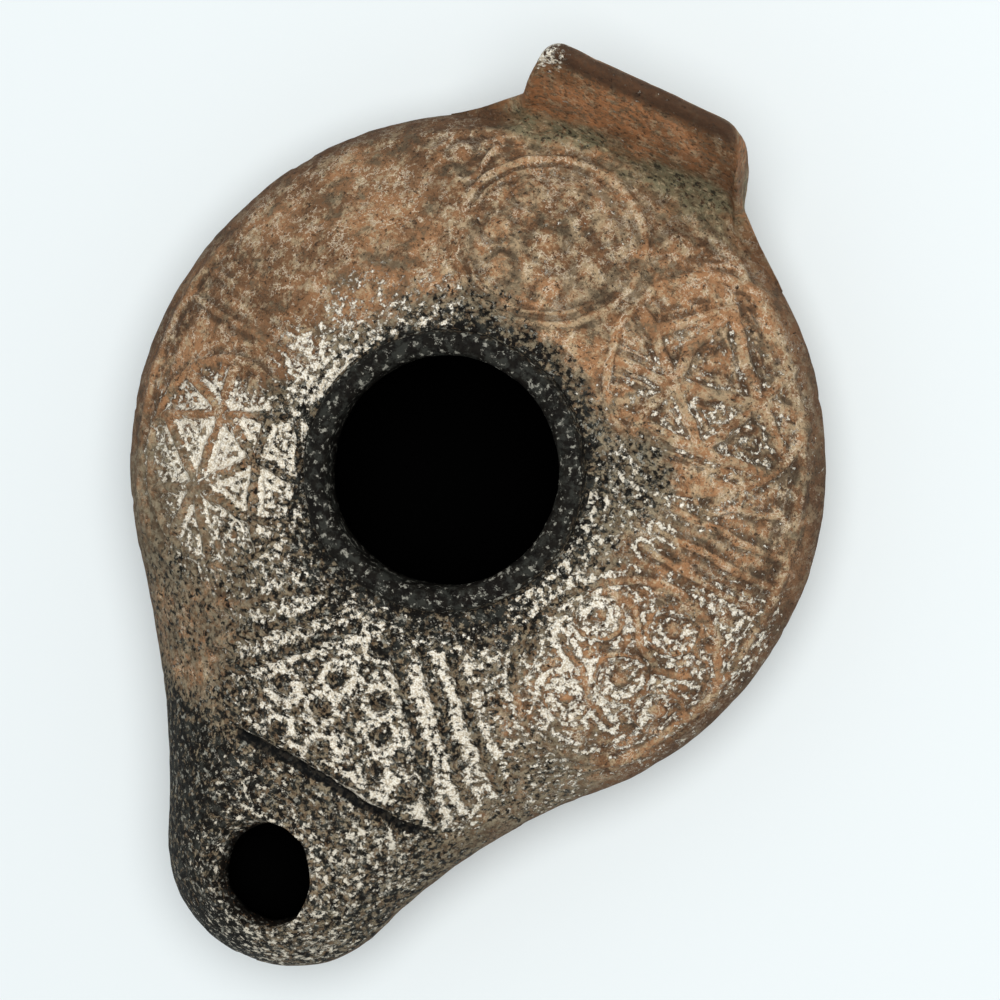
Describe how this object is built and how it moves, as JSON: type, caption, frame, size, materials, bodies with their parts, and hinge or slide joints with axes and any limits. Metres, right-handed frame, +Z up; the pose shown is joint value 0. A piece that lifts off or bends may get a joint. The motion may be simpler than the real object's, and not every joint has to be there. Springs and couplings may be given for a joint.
{
  "type": "roman oil lamp",
  "caption": "Mould-made clay oil lamp with a wide filling hole, carved shoulder, rounded nozzle with wick hole and solid lug handle.",
  "frame": {"origin": "middle of the flat foot, on the surface that the lamp stands on", "axes": "+Z up, +Y from the filling hole to the handle, -Y to the nozzle"},
  "size_m": [0.0695, 0.0959, 0.0308],
  "materials": {
    "clay": "unglazed fired clay, worn, with soot and lime deposits"
  },
  "bodies": {
    "root": {"lamp": "clay"}
  },
  "joints": []
}
